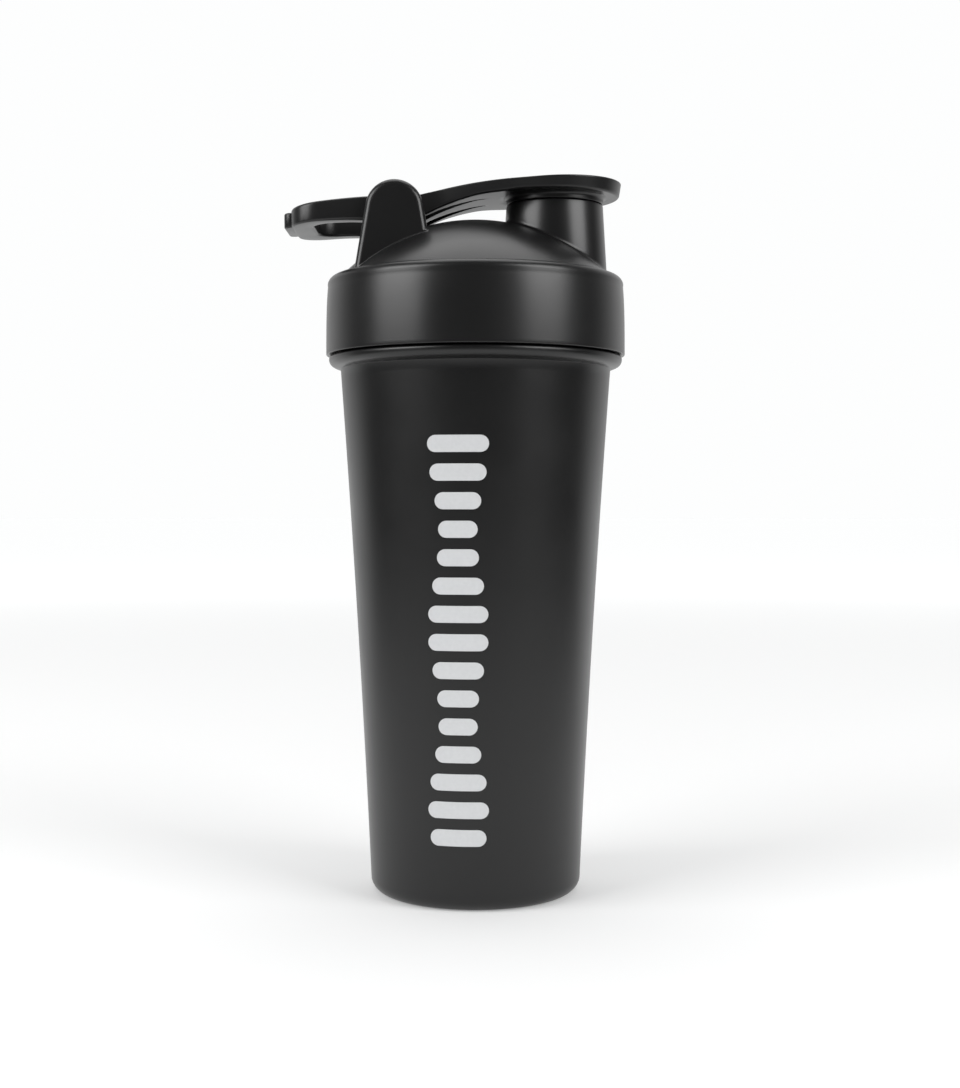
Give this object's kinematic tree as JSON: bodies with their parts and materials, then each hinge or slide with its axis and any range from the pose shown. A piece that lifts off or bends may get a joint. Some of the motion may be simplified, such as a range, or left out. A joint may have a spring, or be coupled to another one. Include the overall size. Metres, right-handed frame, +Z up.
{
  "type": "protein shaker bottle",
  "caption": "Tapered shaker cup with a screw lid, a domed top, a hinged spout cap on an arm, a swinging carry loop and a loose wire mixing ball.",
  "frame": {"origin": "centre of the cup's base, on the surface it stands on", "axes": "+Z up along the cup's axis, +X towards the spout, +Y to the spout's left"},
  "size_m": [0.1094, 0.0966, 0.2286],
  "materials": {
    "black_plastic": "satin black polypropylene",
    "lid_plastic": "satin black polypropylene",
    "cap_plastic": "semi-gloss black polypropylene",
    "silicone": "matte dark silicone",
    "steel_wire": "polished stainless wire"
  },
  "bodies": {
    "cup": {"cup": "black_plastic"},
    "gasket": {"lid_gasket": "silicone"},
    "lid": {"lid": "lid_plastic"},
    "flip_cap": {"flip_cap": "cap_plastic", "spout_seal": "silicone"},
    "carry_loop": {"carry_loop": "cap_plastic"},
    "mixing_ball": {"mixing_ball": "steel_wire"}
  },
  "joints": [
    {"name": "lid_lift", "type": "slide", "parent": "cup", "child": "gasket", "axis": [0, 0, 1], "range_m": [0, 0.0063]},
    {"name": "lid_turn", "type": "hinge", "parent": "gasket", "child": "lid", "pos_m": [0, 0, 0.19], "axis": [0, 0, 1], "range_deg": [0, 450]},
    {"name": "cap_flip", "type": "hinge", "parent": "lid", "child": "flip_cap", "pos_m": [-0.0252, 0, 0.2173], "axis": [0, -1, 0], "range_deg": [0, 120]},
    {"name": "loop_swing", "type": "hinge", "parent": "lid", "child": "carry_loop", "pos_m": [-0.0252, 0, 0.2173], "axis": [0, -1, 0], "range_deg": [-95, 26]},
    {"name": "ball_travel", "type": "slide", "parent": "cup", "child": "mixing_ball", "axis": [0, 0, 1], "range_m": [0, 0.125]}
  ],
  "couplings": [
    {"joint": "lid_lift", "follows": "lid_turn", "m_per_rad": 0.00079577}
  ]
}
